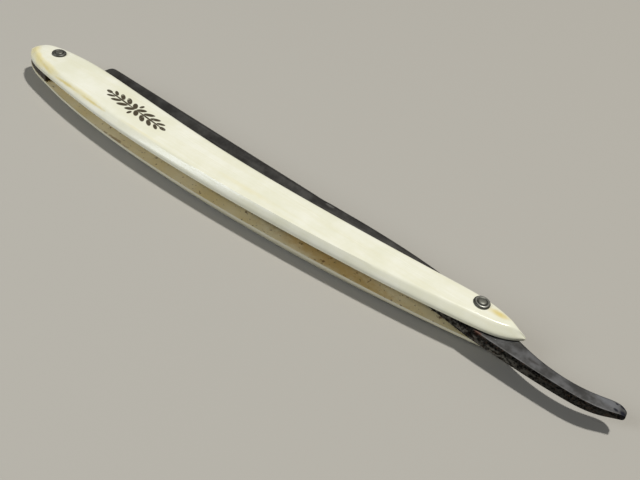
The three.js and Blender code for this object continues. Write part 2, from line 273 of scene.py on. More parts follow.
def fill(tree, placed, sockets):
    """Gives a node's inputs their values or links."""
    for name, value in sockets.items():
        if isinstance(value, bpy.types.NodeSocket):
            tree.links.new(value, placed.inputs[name])
        else:
            placed.inputs[name].default_value = value


def node(tree, kind, sockets=None, **settings):
    """Adds a shader node with its settings, and fills its inputs."""
    placed = tree.nodes.new("ShaderNode" + kind)
    for name, value in settings.items():
        setattr(placed, name, value)
    fill(tree, placed, sockets or {})
    return placed


def calc(tree, operation, first, second=0.0, third=0.0, clamp=False):
    """One step of arithmetic on values or sockets."""
    sockets = {0: first, 1: second, 2: third}
    return node(tree, "Math", sockets, operation=operation, use_clamp=clamp).outputs[0]


def mix(tree, amount, first, second):
    """One colour laid over another by a mask."""
    sockets = {0: amount, 6: first, 7: second}
    return node(tree, "Mix", sockets, data_type="RGBA").outputs[2]


def ramp(tree, value, low, high, out_low=0.0, out_high=1.0):
    """A smooth rise or fall from one value to another while the input goes from low to high."""
    sockets = {0: value, 1: low, 2: high, 3: out_low, 4: out_high}
    return node(tree, "MapRange", sockets, interpolation_type="SMOOTHSTEP").outputs[0]


def turn_flat(tree, vector, angle):
    """Turns a vector about the Z axis."""
    sockets = {"Vector": vector, "Angle": angle}
    return node(tree, "VectorRotate", sockets, rotation_type="Z_AXIS").outputs[0]


def new_group(name, inputs, outputs):
    """An empty shader node group. Inputs are (name, kind, default) and outputs are (name, kind)."""
    group = bpy.data.node_groups.new(name, "ShaderNodeTree")
    for label, kind, value in inputs:
        socket = group.interface.new_socket(label, in_out="INPUT", socket_type="NodeSocket" + kind)
        socket.default_value = value
    for label, kind in outputs:
        group.interface.new_socket(label, in_out="OUTPUT", socket_type="NodeSocket" + kind)
    return group, group.nodes.new("NodeGroupInput").outputs, group.nodes.new("NodeGroupOutput").inputs


def use(tree, group, sockets):
    """Places a node group with its own values, and gives back its outputs."""
    placed = tree.nodes.new("ShaderNodeGroup")
    placed.node_tree = group
    fill(tree, placed, sockets)
    return placed.outputs


# Lengthwise streaks, cloudy mottling, small dark flecks and hairline scratches, for every finish.
aged, given, gives = new_group(
    "aged surface",
    [
        ("Streaks", "Float", 900.0),
        ("Clouds", "Float", 120.0),
        ("Flecks", "Float", 1500.0),
        ("Fleck amount", "Float", 0.3),
    ],
    [("Streak", "Float"), ("Cloud", "Float"), ("Fleck", "Float"), ("Scratch", "Float")],
)
spot = node(aged, "TexCoord").outputs["Object"]
drawn_out = node(aged, "Mapping", {"Vector": spot, "Scale": (0.045, 1.0, 1.0)}).outputs[0]
grain = {"Vector": drawn_out, "Scale": given["Streaks"], "Detail": 5.0, "Roughness": 0.6}
aged.links.new(node(aged, "TexNoise", grain).outputs[0], gives["Streak"])
cloud = node(aged, "TexNoise", {"Vector": spot, "Scale": given["Clouds"], "Detail": 6.0, "Roughness": 0.62})
aged.links.new(cloud.outputs[0], gives["Cloud"])
fleck = node(aged, "TexNoise", {"Vector": spot, "Scale": given["Flecks"], "Detail": 3.0, "Roughness": 0.7})
patchy = calc(aged, "MULTIPLY_ADD", cloud.outputs[0], 0.35, fleck.outputs[0])
limit = calc(aged, "SUBTRACT", 1.02, calc(aged, "MULTIPLY", given["Fleck amount"], 0.3))
aged.links.new(ramp(aged, patchy, limit, calc(aged, "ADD", limit, 0.05)), gives["Fleck"])
slant = {"Vector": spot, "Rotation": (0.0, 0.0, 0.22), "Scale": (0.02, 1.0, 1.0)}
slanted = node(aged, "Mapping", slant).outputs[0]
hairs = node(aged, "TexNoise", {"Vector": slanted, "Scale": 2600.0, "Detail": 2.0, "Roughness": 0.5})
aged.links.new(ramp(aged, hairs.outputs[0], 0.64, 0.72), gives["Scratch"])

# A soft oval stain at a place on the piece, with a ragged rim.
stain, given, gives = new_group(
    "stain",
    [
        ("Place", "Vector", (0, 0, 0)),
        ("Half size", "Vector", (0.01, 0.01, 0.01)),
        ("Turn", "Float", 0.0),
        ("Rim", "Float", 0.5),
        ("Ragged", "Float", 0.3),
    ],
    [("Mask", "Float")],
)
spot = node(stain, "TexCoord").outputs["Object"]
offset = node(stain, "VectorMath", {0: spot, 1: given["Place"]}, operation="SUBTRACT").outputs[0]
level = turn_flat(stain, offset, given["Turn"])
reach = node(stain, "VectorMath", {0: level, 1: given["Half size"]}, operation="DIVIDE").outputs[0]
reach = node(stain, "VectorMath", {0: reach}, operation="LENGTH").outputs[1]
rough = node(stain, "TexNoise", {"Vector": spot, "Scale": 700.0, "Detail": 5.0, "Roughness": 0.65}).outputs[0]
ragged = calc(stain, "MULTIPLY", calc(stain, "SUBTRACT", rough, 0.5), given["Ragged"])
reach = calc(stain, "ADD", reach, ragged)
inside = calc(stain, "SUBTRACT", 1.0, given["Rim"])
stain.links.new(ramp(stain, reach, inside, 1.0, 1.0, 0.0), gives["Mask"])


def near(x, y, z=0.0):
    """A place on the razor, from the pivot, in millimetres."""
    return tuple(pivot + Vector((x, y, z)) * MM)


def half(x, y, z=20.0):
    """Half the size of a mark, given in millimetres and deep enough to go through the piece."""
    return (x * MM, y * MM, z * MM)


def new_material(name, **settings):
    """A material and its main shader, with the values that are the same all over set on the shader."""
    made = bpy.data.materials.new(name)
    made.use_nodes = True
    shader = made.node_tree.nodes["Principled BSDF"]
    for label, value in settings.items():
        shader.inputs[label.replace("_", " ")].default_value = value
    return made, made.node_tree, shader


cream = (0.79, 0.78, 0.62, 1)
pale_cream = (0.86, 0.85, 0.73, 1)
straw = (0.75, 0.71, 0.48, 1)
pale_yellow = (0.80, 0.70, 0.35, 1)
deep_yellow = (0.70, 0.57, 0.21, 1)
fleck_tan = (0.35, 0.27, 0.12, 1)
ivory, tree, shader = new_material("aged ivory celluloid", IOR=1.53)
wear = use(tree, aged, {"Streaks": 700.0, "Clouds": 90.0, "Flecks": 1300.0, "Fleck amount": 0.12})
colour = mix(tree, ramp(tree, wear["Cloud"], 0.35, 0.68), cream, pale_cream)
colour = mix(tree, calc(tree, "MULTIPLY", ramp(tree, wear["Streak"], 0.42, 0.7), 0.25), colour, straw)

# Yellow stains: place and half size from the pivot in millimetres, turn, strength and colour.
yellow_places = [
    ((-140.0, -2.4), (4.5, 2.4), -0.7, 0.95, pale_yellow),
    ((-135.5, -4.9), (5.5, 1.5), -0.5, 0.95, pale_yellow),
    ((-129.5, -6.4), (9.0, 1.5), -0.27, 0.7, pale_yellow),
    ((-114.0, -8.9), (13.0, 1.1), -0.1, 0.6, pale_yellow),
    ((-131.0, -6.4), (5.0, 0.45), -0.3, 0.6, deep_yellow),
    ((-121.0, -8.3), (7.5, 0.42), -0.12, 0.85, deep_yellow),
    ((-109.5, -9.6), (7.0, 0.36), -0.09, 0.75, deep_yellow),
    ((4.2, -0.1), (3.8, 1.4), 0.12, 1.0, deep_yellow),
    ((-92.0, -10.2), (11.0, 0.7), -0.02, 0.3, pale_yellow),
    ((-60.0, -8.0), (12.0, 1.2), 0.0, 0.25, pale_yellow),
]
for place, size, turn, strength, tint in yellow_places:
    sockets = {"Place": near(*place), "Half size": half(*size), "Turn": -turn, "Rim": 0.9, "Ragged": 0.6}
    amount = calc(tree, "MULTIPLY", use(tree, stain, sockets)["Mask"], strength)
    colour = mix(tree, amount, colour, tint)

# Burnt into the outside near the closed end: a small rosette between two sprigs, folded over in quarters.
ornament_place = near(-99.6, -4.2)
ornament_turn = 0.1
scorched = (0.04, 0.026, 0.007, 1)
outside_height = 3 * MM
at_any_height = 500.0
spot = node(tree, "TexCoord").outputs["Object"]
offset = node(tree, "VectorMath", {0: spot, 1: ornament_place}, operation="SUBTRACT").outputs[0]
level = turn_flat(tree, offset, ornament_turn)
quarter = node(tree, "VectorMath", {0: level}, operation="ABSOLUTE").outputs[0]

# Each leaf of a quarter: its middle and half size in millimetres, and its turn.
burnt_leaves = [
    ((5.4, 0.0), (5.2, 0.3), 0.0),
    ((10.4, 0.0), (1.1, 0.62), 0.0),
    ((1.25, 0.95), (1.45, 0.72), 0.75),
    ((0.0, 2.1), (0.5, 0.85), 0.0),
    ((3.9, 1.25), (1.6, 0.72), 0.62),
    ((6.4, 1.15), (1.5, 0.64), 0.58),
    ((8.7, 0.95), (1.25, 0.52), 0.52),
]
burnt = 0.0
for (x, y), (long, wide), turn in burnt_leaves:
    offset = node(tree, "VectorMath", {0: quarter, 1: (x * MM, y * MM, 0)}, operation="SUBTRACT").outputs[0]
    level = turn_flat(tree, offset, -turn)
    size = half(long, wide, at_any_height)
    reach = node(tree, "VectorMath", {0: level, 1: size}, operation="DIVIDE").outputs[0]
    reach = node(tree, "VectorMath", {0: reach}, operation="LENGTH").outputs[1]
    burnt = calc(tree, "MAXIMUM", burnt, ramp(tree, reach, 0.8, 1.05, 1.0, 0.0))
height = node(tree, "SeparateXYZ", {0: spot}).outputs[2]
height = calc(tree, "SUBTRACT", height, pivot.z)
burnt = calc(tree, "MULTIPLY", burnt, calc(tree, "GREATER_THAN", height, outside_height))
worn = use(tree, aged, {"Streaks": 1600.0, "Clouds": 900.0, "Flecks": 1900.0, "Fleck amount": 0.6})
burnt = calc(tree, "MULTIPLY", burnt, ramp(tree, worn["Cloud"], 0.3, 0.42, 0.6, 0.98))

# Stained inside: grime has settled where the scales face each other. The upright walls below the middle
# plane, those of the back scale, get a painted shade.
tan = (0.80, 0.67, 0.35, 1)
light_tan = (0.90, 0.81, 0.54, 1)
gold = (0.66, 0.48, 0.18, 1)
dark_stain = (0.28, 0.16, 0.05, 1)
speck_brown = (0.16, 0.075, 0.025, 1)
painted_wall_shade = (0.66, 0.62, 0.46, 1)
away = calc(tree, "ABSOLUTE", height)
facing = node(tree, "SeparateXYZ", {0: node(tree, "TexCoord").outputs["Normal"]}).outputs[2]
upright = ramp(tree, calc(tree, "ABSOLUTE", facing), 0.55, 0.9)
inside = calc(tree, "MULTIPLY", ramp(tree, away, 1.88 * MM, 2.3 * MM, 1.0, 0.0), upright)
brown = mix(tree, ramp(tree, wear["Cloud"], 0.3, 0.7), tan, light_tan)
sockets = {"Place": near(-35.0, -7.4), "Half size": half(34.0, 4.6), "Turn": 0.07, "Rim": 0.9, "Ragged": 1.2}
brown = mix(tree, calc(tree, "MULTIPLY", use(tree, stain, sockets)["Mask"], 0.9), brown, gold)
sockets = {"Place": near(-99.5, -11.3), "Half size": half(4.8, 0.55), "Turn": 0.05, "Rim": 0.5, "Ragged": 3.0}
brown = mix(tree, calc(tree, "MULTIPLY", use(tree, stain, sockets)["Mask"], 0.6), brown, dark_stain)
specks = use(tree, aged, {"Streaks": 500.0, "Clouds": 260.0, "Flecks": 900.0, "Fleck amount": 0.75})
brown = mix(tree, calc(tree, "MULTIPLY", specks["Fleck"], 0.8), brown, speck_brown)
# Painted shade: the upright walls of the back scale are coloured darker because they lie in shade.
edge = calc(tree, "SUBTRACT", 1.0, upright)
painted_wall_shade_mask = calc(tree, "MULTIPLY", edge, ramp(tree, height, -0.5 * MM, 0.5 * MM, 1.0, 0.0))
colour = mix(tree, calc(tree, "MULTIPLY", painted_wall_shade_mask, 0.75), colour, painted_wall_shade)
colour = mix(tree, inside, colour, brown)
colour = mix(tree, calc(tree, "MULTIPLY", wear["Fleck"], 0.5), colour, fleck_tan)
colour = mix(tree, burnt, colour, scorched)
tree.links.new(colour, shader.inputs["Base Color"])
rough = calc(tree, "MULTIPLY_ADD", wear["Cloud"], 0.12, 0.16)
rough = calc(tree, "MULTIPLY_ADD", inside, 0.3, rough)
rough = calc(tree, "MULTIPLY_ADD", burnt, 0.35, rough)
rough = calc(tree, "MULTIPLY_ADD", wear["Scratch"], 0.12, rough)
tree.links.new(rough, shader.inputs["Roughness"])
relief = calc(tree, "MULTIPLY_ADD", wear["Scratch"], -0.5, calc(tree, "MULTIPLY", wear["Streak"], 0.5))
relief = calc(tree, "MULTIPLY_ADD", burnt, -2.0, relief)
bump = node(tree, "Bump", {"Height": relief, "Distance": 0.04 * MM, "Strength": 0.35})
tree.links.new(bump.outputs[0], shader.inputs["Normal"])

front.data.materials.append(ivory)
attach(front, "handle")
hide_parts("front_scale")


# ---------------------------------------------------------------- back scale
# The lower handle half, of the same celluloid, cut and flexed as the front one. It faces the front scale
# across the blade and the wedge, and the same two rivets go through it.

bpy.ops.object.select_all(action="DESELECT")
back.select_set(True)
bpy.context.view_layer.objects.active = back
bpy.ops.object.mode_set(mode="EDIT")
bpy.ops.mesh.select_all(action="SELECT")
bpy.ops.transform.resize(value=(1, 1, -1), center_override=pivot)
bpy.ops.mesh.normals_make_consistent(inside=False)
bpy.ops.object.mode_set(mode="OBJECT")
back.data.materials.append(ivory)
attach(back, "handle")
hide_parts("back_scale")


# ---------------------------------------------------------------- wedge
# A short tapered spacer, nearly black, gripped between the scales at the closed end. It is sawn flush with
# their outline and sets the angle at which they open towards the pivot.

wedge_start = -130.0
wedge_outline = [(wedge_start, 5.6, -7.68)] + [entry for entry in scale_outline if entry[0] < wedge_start]
wedge_rows = 5
wedge_crease = 0.8
edge_inset = 0.12
glue_gap = 0.02
blank = Vector((16 * MM, 10 * MM, 2 * MM))
wedge, grid = straight_bar("tapered_wedge", blank, len(wedge_outline), wedge_rows)
for level in (0, 1):
    for row in (0, wedge_rows - 1):
        crease(wedge, [ring[row][level] for ring in grid], wedge_crease)
for station, (x, spine, belly) in enumerate(wedge_outline):
    everything = [index for pair in grid[station] for index in pair]
    now = Vector((station * blank.x / (len(wedge_outline) - 1), 0, blank.z / 2))
    width = (spine - belly - 2 * edge_inset) * MM
    depth = 2 * (at(inside_heights, x) - glue_gap) * MM
    stretch(wedge, everything, (1, width / blank.y, depth / blank.z), now)
    shift(wedge, everything, pivot + Vector((x, (spine + belly) / 2, 0)) * MM - now)
crease(wedge, [index for pair in grid[0] for index in pair], wedge_crease)
finish_mesh(wedge, levels=2, smooth_angle=40)
drill(wedge, wedge_rivet_x)

near_black = (0.012, 0.009, 0.006, 1)
dark_brown = (0.05, 0.034, 0.018, 1)
dusty_brown = (0.12, 0.08, 0.035, 1)
dark, tree, shader = new_material("dark wedge", IOR=1.5)
wear = use(tree, aged, {"Streaks": 900.0, "Clouds": 400.0, "Flecks": 1400.0, "Fleck amount": 0.5})
colour = mix(tree, ramp(tree, wear["Cloud"], 0.35, 0.7), near_black, dark_brown)
colour = mix(tree, calc(tree, "MULTIPLY", wear["Fleck"], 0.6), colour, dusty_brown)
tree.links.new(colour, shader.inputs["Base Color"])
tree.links.new(calc(tree, "MULTIPLY_ADD", wear["Cloud"], 0.3, 0.4), shader.inputs["Roughness"])
bump = node(tree, "Bump", {"Height": wear["Streak"], "Distance": 0.08 * MM, "Strength": 0.6})
tree.links.new(bump.outputs[0], shader.inputs["Normal"])
wedge.data.materials.append(dark)
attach(wedge, "handle")
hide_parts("wedge")


# ---------------------------------------------------------------- blade
# Blade, shank, tang and curved tail are one steel forging. The blade is hollow ground from a thick spine to a
# thin edge, the shank is a plain bar that narrows to the tang, and the tail curls up to a rounded end.

# Across the blade: depth below the crest, and half the thickness there. Across the bar, from spine side to
# belly side: the share of its height, and how much of its half thickness is left there.
blade_width = 15.5
blade_depths = [0.0, 0.35, 1.0, 1.9, 3.2, 5.2, 7.8, 10.8, 14.0, blade_width]
blade_halves = [0.55, 1.55, 2.02, 2.2, 1.68, 1.02, 0.54, 0.25, 0.1, 0.05]
bar_shares = [0.0, 0.035, 0.09, 0.2, 0.35, 0.5, 0.65, 0.8, 0.955, 1.0]
bar_rounding = [0.62, 0.9, 1.0, 1.0, 1.0, 1.0, 1.0, 1.0, 1.0, 0.72]
shoulder = -43.0
heel = -49.0
crest_slope = 0.0395
crest_at_shoulder = 6.45


def crest(x):
    """The top line of the blade's spine."""
    return crest_at_shoulder + crest_slope * (shoulder - x)


# Shank, tang and tail: distance from the pivot, spine-side and belly-side edges, half the thickness at each.
bar_outline = [
    (shoulder, 6.4, -3.6, 2.02, 1.45),
    (-38.0, 6.52, -3.42, 1.92, 1.45),
    (-33.0, 6.6, -3.28, 1.82, 1.45),
    (-28.0, 6.56, -3.2, 1.74, 1.45),
    (-22.0, 6.36, -3.22, 1.66, 1.45),
    (-16.0, 5.9, -3.45, 1.58, 1.45),
    (-11.0, 5.28, -3.9, 1.5, 1.45),
    (-5.0, 4.1, -4.85, 1.45, 1.45),
    (0.0, 2.95, -5.76, 1.45, 1.45),
    (5.0, 1.5, -6.16, 1.45, 1.45),
    (9.5, -0.1, -6.32, 1.45, 1.45),
    (13.0, -1.5, -6.44, 1.43, 1.43),
    (16.5, -2.52, -6.52, 1.4, 1.4),
    (20.5, -3.12, -6.55, 1.36, 1.36),
    (24.5, -3.12, -6.52, 1.31, 1.31),
    (28.0, -2.6, -6.32, 1.27, 1.27),
    (31.0, -1.58, -5.55, 1.13, 1.13),
    (33.2, -0.76, -4.55, 0.95, 0.95),
    (34.6, -0.75, -3.82, 0.84, 0.84),
    (35.5, -1.3, -3.42, 0.76, 0.76),
    (36.1, -1.95, -3.15, 0.64, 0.64),
]

toe_radius = 14.0
toe_start = -122.55
toe_sweep = np.arcsin(blade_width / 2 / toe_radius)
toe_steps = (0.13, 0.32, 0.52, 0.7, 0.85, 0.96)
corner_gap = 0.15
straight_stations = 16
columns = []
for step in toe_steps:
    x = toe_start + toe_radius * (1 - cos(toe_sweep * step))
    rise = toe_radius * sin(toe_sweep * step)
    middle = crest(x) - blade_width / 2
    columns.append((x, middle + rise, middle - rise))
corner = toe_start + toe_radius * (1 - cos(toe_sweep))
straight = np.linspace(corner + corner_gap, heel, straight_stations)
columns += [(x, crest(x), crest(x) - blade_width) for x in straight]
blade_columns = len(columns)

# The hollow grind runs out into the plain bar between the heel and the shoulder.
heel_shares = (0.2, 0.42, 0.65, 0.85)
thickening = 1.6

profile = []
for x, top, bottom in columns:
    shares = [depth / blade_width for depth in blade_depths]
    ys = [top + (bottom - top) * share for share in shares]
    halves = [float(np.interp(crest(x) - y, blade_depths, blade_halves)) for y in ys]
    profile.append((x, ys, halves))
x, top, bottom, top_half, bottom_half = bar_outline[0]
for share in heel_shares:
    swell = share * share * (3 - 2 * share)
    place = heel + (shoulder - heel) * share
    ground_bottom = crest(heel) - blade_width
    edge_y = ground_bottom + (bottom - ground_bottom) * swell
    ys = []
    halves = []
    for row, depth in enumerate(blade_depths):
        ground = crest(place) - depth / blade_width * (crest(place) - edge_y)
        bar = crest(place) - bar_shares[row] * (crest(place) - edge_y)
        ys.append(ground + (bar - ground) * swell)
        ground_half = float(np.interp(crest(place) - ground, blade_depths, blade_halves))
        bar_half = (top_half + (bottom_half - top_half) * bar_shares[row]) * bar_rounding[row]
        halves.append(ground_half + (bar_half - ground_half) * swell**thickening)
    profile.append((place, ys, halves))
for x, top, bottom, top_half, bottom_half in bar_outline:
    ys = [top + (bottom - top) * share for share in bar_shares]
    halves = [
        (top_half + (bottom_half - top_half) * share) * rounding
        for share, rounding in zip(bar_shares, bar_rounding)
    ]
    profile.append((x, ys, halves))

# The bar starts 2 mm thick, so half a thickness in millimetres is also its factor.
bar_size = Vector((170 * MM, 20 * MM, 2 * MM))
blade, grid = straight_bar("forged_blade", bar_size, len(profile), len(blade_depths))
for station, (x, ys, halves) in enumerate(profile):
    now_x = station * bar_size.x / (len(profile) - 1)
    shift(blade, [index for pair in grid[station] for index in pair], (pivot.x + x * MM - now_x, 0, 0))
    for row, (y, thick) in enumerate(zip(reversed(ys), reversed(halves))):
        now_y = (row / (len(ys) - 1) - 0.5) * bar_size.y
        here = (0, now_y, bar_size.z / 2)
        stretch(blade, grid[station][row], (1, 1, thick), here)
        shift(blade, grid[station][row], (0, pivot.y + y * MM - now_y, pivot.z - bar_size.z / 2))
keen_edge = 1.0
toe_end = 0.9
soft_line = 0.35
edge_line = [grid[station][0] for station in range(blade_columns + 1)]
crease(blade, [index for pair in edge_line for index in pair], keen_edge)
crease(blade, [index for pair in grid[0] for index in pair], toe_end)
thickest_row = len(blade_halves) - 1 - blade_halves.index(max(blade_halves))
shank_start = blade_columns + len(heel_shares) + 1
for level in (0, 1):
    crease(blade, [ring[thickest_row][level] for ring in grid[:blade_columns]], soft_line)
    for row in (1, len(bar_shares) - 2):
        crease(blade, [ring[row][level] for ring in grid[shank_start:]], soft_line)
finish_mesh(blade, levels=2, smooth_angle=50)
drill(blade, pivot.x)

steel_grey = (0.04, 0.038, 0.035, 1)
light_grey = (0.075, 0.073, 0.068, 1)
streak_grey = (0.12, 0.118, 0.11, 1)
steel, tree, shader = new_material("patinated steel", IOR=1.4)
wear = use(tree, aged, {"Streaks": 1500.0, "Clouds": 240.0, "Flecks": 1700.0, "Fleck amount": 0.5})
colour = mix(tree, ramp(tree, wear["Cloud"], 0.34, 0.68), steel_grey, light_grey)
colour = mix(tree, calc(tree, "MULTIPLY", ramp(tree, wear["Streak"], 0.5, 0.75), 0.4), colour, streak_grey)

# The flat sides of the tang and tail are rubbed smooth.
rubbed_dark = (0.05, 0.049, 0.047, 1)
rubbed_light = (0.11, 0.11, 0.112, 1)
facing = node(tree, "SeparateXYZ", {0: node(tree, "TexCoord").outputs["Normal"]})
along = node(tree, "SeparateXYZ", {0: node(tree, "TexCoord").outputs["Object"]})
on_tang = ramp(tree, along.outputs[0], pivot.x - 2 * MM, pivot.x + 9 * MM)
rubbed = calc(tree, "MULTIPLY", ramp(tree, facing.outputs[2], 0.5, 0.9), on_tang)
bare = mix(tree, ramp(tree, wear["Cloud"], 0.36, 0.62), rubbed_dark, rubbed_light)
colour = mix(tree, rubbed, colour, bare)

# Black, pitted grime on the belly side of the tang and tail; the colour is made darkest in a band under its
# ridge and towards the tail end.
soot = (0.015, 0.014, 0.012, 1)
ash = (0.26, 0.25, 0.22, 1)
deepest_black = (0.006, 0.0055, 0.005, 1)
dust = (0.09, 0.085, 0.075, 1)
belly_side = ramp(tree, facing.outputs[1], -0.25, -0.6)
from_tang = ramp(tree, along.outputs[0], pivot.x - 20 * MM, pivot.x - 4 * MM)
grime = calc(tree, "MULTIPLY", belly_side, from_tang)
speckle = use(tree, aged, {"Streaks": 800.0, "Clouds": 1100.0, "Flecks": 2300.0, "Fleck amount": 1.25})
grimy = mix(tree, ramp(tree, speckle["Cloud"], 0.44, 0.58), soot, ash)
ridge = ramp(tree, along.outputs[2], pivot.z + 0.3 * MM, pivot.z + 0.65 * MM)
tail_end = ramp(tree, along.outputs[0], pivot.x + 8 * MM, pivot.x + 22 * MM)
blackest = calc(tree, "MAXIMUM", ridge, calc(tree, "MULTIPLY", tail_end, 0.85))
grimy = mix(tree, blackest, grimy, deepest_black)
grimy = mix(tree, calc(tree, "MULTIPLY", speckle["Fleck"], 0.5), grimy, dust)
colour = mix(tree, grime, colour, grimy)

# Rust flecks, and black ones where the patina has come off.
rust_brown = (0.06, 0.036, 0.022, 1)
fleck_black = (0.02, 0.02, 0.025, 1)
rusty = use(tree, aged, {"Streaks": 800.0, "Clouds": 520.0, "Flecks": 1500.0, "Fleck amount": 0.95})
rust = calc(tree, "MULTIPLY", rusty["Fleck"], calc(tree, "MULTIPLY_ADD", grime, 0.6, 0.1))
colour = mix(tree, rust, colour, rust_brown)
colour = mix(tree, calc(tree, "MULTIPLY", wear["Fleck"], 0.6), colour, fleck_black)

# The last millimetre along the edge is honed bright.
honed_bright = (0.42, 0.42, 0.41, 1)
edge_y = calc(tree, "MULTIPLY_ADD", along.outputs[0], crest_slope, along.outputs[1])
edge_level = pivot.y + crest_slope * pivot.x + (crest(0) - blade_width) * MM
honed = ramp(tree, edge_y, edge_level + 0.75 * MM, edge_level + 1.05 * MM, 1.0, 0.0)
on_blade = ramp(tree, along.outputs[0], pivot.x + (heel - 0.5) * MM, pivot.x + (heel + 1.0) * MM, 1.0, 0.0)
honed = calc(tree, "MULTIPLY", honed, on_blade)
colour = mix(tree, honed, colour, honed_bright)

# Stains, bare spots, a painted highlight and a painted shadow: place and half size from the pivot in
# millimetres, colour and strength.
blue_black = (0.008, 0.009, 0.016, 1)
discoloured_places = [
    # A painted highlight: a lighter patch at the shoulder of the spine.
    ((-43.6, 5.0), (1.7, 0.6), (0.2, 0.195, 0.18, 1), 0.7),
    ((32.0, -2.4), (3.4, 1.5), (0.15, 0.155, 0.165, 1), 0.75),
    ((35.0, -1.2), (1.0, 0.75), blue_black, 1.0),
    ((35.2, -2.9), (0.9, 0.95), blue_black, 1.0),
    ((33.7, -3.2), (0.8, 0.5), blue_black, 0.95),
    ((33.5, -1.5), (0.5, 0.35), blue_black, 0.9),
    ((15.5, -4.3), (2.2, 0.6), (0.035, 0.03, 0.028, 1), 0.6),
    ((24.0, -4.0), (2.5, 1.0), (0.03, 0.03, 0.03, 1), 0.5),
    ((2.6, -5.4), (1.3, 0.6), (0.075, 0.028, 0.015, 1), 0.7),
    # A painted shadow: a dark patch on the tang's belly side where it runs in between the scales near the
    # pivot.
    ((-5.0, -5.6), (3.5, 1.4), (0.012, 0.01, 0.008, 1), 0.45),
]
for place, size, tint, strength in discoloured_places:
    sockets = {"Place": near(*place), "Half size": half(*size), "Rim": 0.7, "Ragged": 1.3}
    colour = mix(tree, calc(tree, "MULTIPLY", use(tree, stain, sockets)["Mask"], strength), colour, tint)
tree.links.new(colour, shader.inputs["Base Color"])
dull = calc(tree, "MAXIMUM", rust, grime)
metal = calc(tree, "MULTIPLY_ADD", grime, 0.35, 0.65)
metal = calc(tree, "MULTIPLY_ADD", rust, -0.5, metal, clamp=True)
tree.links.new(metal, shader.inputs["Metallic"])
rough = calc(tree, "MULTIPLY_ADD", wear["Cloud"], 0.25, 0.36)
rough = calc(tree, "MULTIPLY_ADD", dull, 0.35, rough)
rough = calc(tree, "MULTIPLY_ADD", honed, -0.2, rough)
tree.links.new(rough, shader.inputs["Roughness"])
relief = calc(tree, "MULTIPLY_ADD", wear["Fleck"], -0.8, calc(tree, "MULTIPLY", wear["Streak"], 0.4))
relief = calc(tree, "MULTIPLY_ADD", rusty["Cloud"], calc(tree, "MULTIPLY", grime, 1.5), relief)
bump = node(tree, "Bump", {"Height": relief, "Distance": 0.09 * MM, "Strength": 0.5})
tree.links.new(bump.outputs[0], shader.inputs["Normal"])
blade.data.materials.append(steel)
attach(blade, "blade")
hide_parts("blade")


# ---------------------------------------------------------------- rivets, collars and washers
# Two nickel-silver pins hold the razor together. Each is peened over a dished collar on the outside of both
# scales, and at the pivot a thin brass washer on each side keeps the tang off the scales.


def turned(name, centre_x, base, direction, profile, closed=False):
    """A piece turned about a rivet's axis: a ring if its profile is closed, and otherwise a solid.

    The profile lists (radius, height above the base) in millimetres.
    """
    bpy.ops.object.select_all(action="DESELECT")
    cap = "NOTHING" if closed else "NGON"
    radius, rise = profile[0]
    start = (centre_x, pivot.y, base + direction * rise * MM)
    disc_size = {"vertices": round_sides, "radius": radius * MM}
    bpy.ops.mesh.primitive_circle_add(location=start, fill_type=cap, **disc_size)
    piece = bpy.context.object
    piece.name = name
    piece.data.name = name
    bpy.ops.object.transform_apply(location=True, rotation=False, scale=False)
    bpy.ops.object.mode_set(mode="EDIT")
    bpy.ops.mesh.select_mode(type="EDGE")
    bpy.ops.mesh.select_all(action="SELECT")
    for next_radius, next_rise in profile[1:]:
        step = direction * (next_rise - rise) * MM
        if closed:
            bpy.ops.mesh.extrude_edges_move(TRANSFORM_OT_translate={"value": (0, 0, step)})
        else:
            bpy.ops.mesh.extrude_region_move(TRANSFORM_OT_translate={"value": (0, 0, step)})
        factor = next_radius / radius
        bpy.ops.transform.resize(value=(factor, factor, 1), center_override=(centre_x, pivot.y, 0))
        radius, rise = next_radius, next_rise
    bpy.ops.mesh.select_all(action="SELECT")
    bpy.ops.mesh.remove_doubles(threshold=0.002 * MM)
    finish_mesh(piece, levels=0, smooth_angle=50)
    return piece


dark_nickel = (0.06, 0.06, 0.052, 1)
light_nickel = (0.13, 0.128, 0.108, 1)
head_nickel = (0.15, 0.15, 0.125, 1)
polished_highlight_nickel = (0.42, 0.42, 0.37, 1)
nickel_fleck = (0.02, 0.018, 0.014, 1)
nickel, tree, shader = new_material("tarnished nickel silver", IOR=1.6, Metallic=0.6)
wear = use(tree, aged, {"Streaks": 2400.0, "Clouds": 900.0, "Flecks": 2600.0, "Fleck amount": 0.6})
spot = node(tree, "TexCoord").outputs["Object"]
distances = []
for x in (pivot.x, wedge_rivet_x):
    away = node(tree, "VectorMath", {0: spot, 1: (x, pivot.y, 0)}, operation="SUBTRACT").outputs[0]
    flat = node(tree, "VectorMath", {0: away, 1: (1, 1, 0)}, operation="MULTIPLY").outputs[0]
    distances.append(node(tree, "VectorMath", {0: flat}, operation="LENGTH").outputs[1])
distance = calc(tree, "MINIMUM", *distances)

# The collars' crests are polished by handling and carry a painted highlight, a lighter ring that is stronger
# at the pivot than at the wedge.
rise = ramp(tree, distance, 1.3 * MM, 1.42 * MM)
fall = ramp(tree, distance, 1.55 * MM, 1.68 * MM, 1.0, 0.0)
polish_and_highlight = calc(tree, "MULTIPLY", rise, fall)
along = node(tree, "SeparateXYZ", {0: spot}).outputs[0]
pivot_polish_and_highlight = ramp(tree, along, pivot.x - 90 * MM, pivot.x - 40 * MM, 0.25, 1.0)
polish_and_highlight = calc(tree, "MULTIPLY", polish_and_highlight, pivot_polish_and_highlight)
colour = mix(tree, ramp(tree, wear["Cloud"], 0.35, 0.68), dark_nickel, light_nickel)
colour = mix(tree, ramp(tree, distance, 0.92 * MM, 1.02 * MM, 1.0, 0.0), colour, head_nickel)
